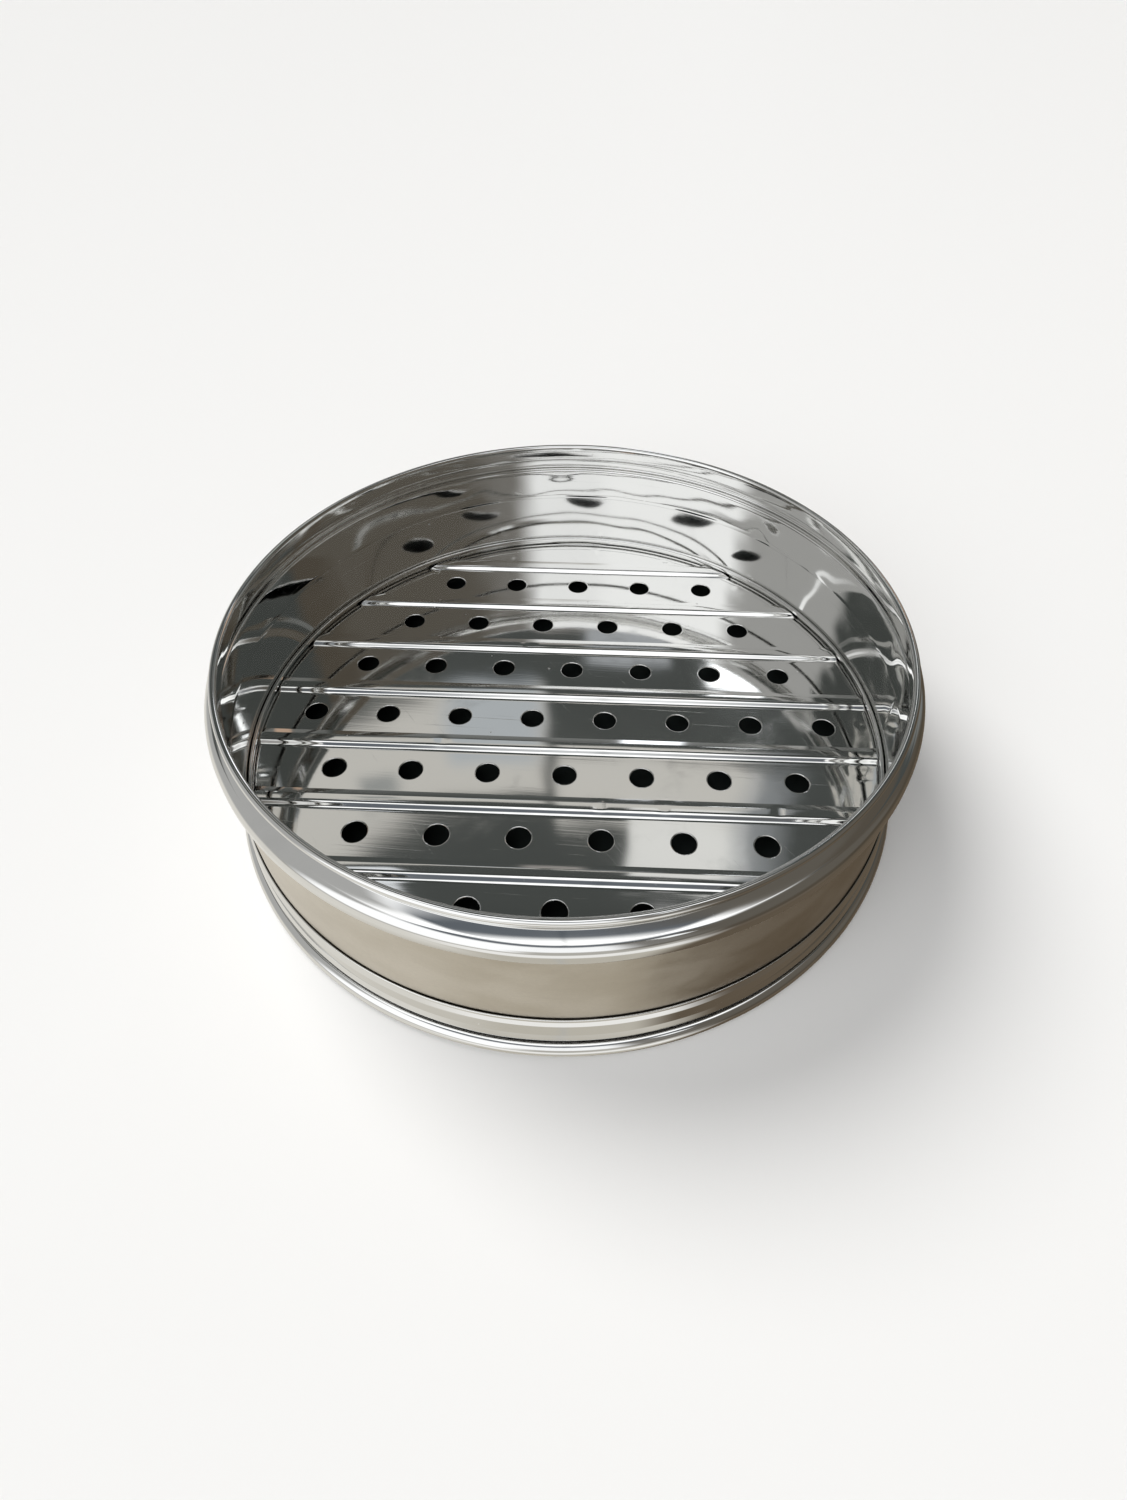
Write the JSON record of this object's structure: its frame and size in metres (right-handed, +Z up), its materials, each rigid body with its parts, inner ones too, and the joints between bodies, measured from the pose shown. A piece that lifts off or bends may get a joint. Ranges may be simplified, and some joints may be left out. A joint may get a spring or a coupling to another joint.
{
  "type": "steamer basket",
  "caption": "Round open stackable steamer tier in stainless steel, with a polished collar and foot ring, a satin wall and a perforated floor of ribbed strips.",
  "frame": {"origin": "centre of the base, on the surface that the tier stands on", "axes": "+Z up along the basket's axis, from the foot to the rim; +X along the floor strips"},
  "size_m": [0.3158, 0.3158, 0.0859],
  "materials": {
    "polished_steel": "mirror-polished stainless steel with fine scratches",
    "satin_steel": "fine satin stainless steel outside, polished inside",
    "floor_steel": "mirror-polished stainless sheet, punched and pressed",
    "wire_steel": "drawn wire, hidden inside the curled edges"
  },
  "bodies": {
    "root": {"upper_collar": "polished_steel", "top_rim_wire": "wire_steel", "wall_band": "satin_steel", "lower_skirt": "polished_steel", "bottom_rim_wire": "wire_steel", "floor_ring": "polished_steel", "floor_strip_1": "floor_steel", "floor_strip_2": "floor_steel", "floor_strip_3": "floor_steel", "floor_strip_4": "floor_steel", "floor_strip_5": "floor_steel", "floor_strip_6": "floor_steel", "floor_strip_7": "floor_steel", "floor_strip_8": "floor_steel", "floor_strip_9": "floor_steel"}
  },
  "joints": []
}
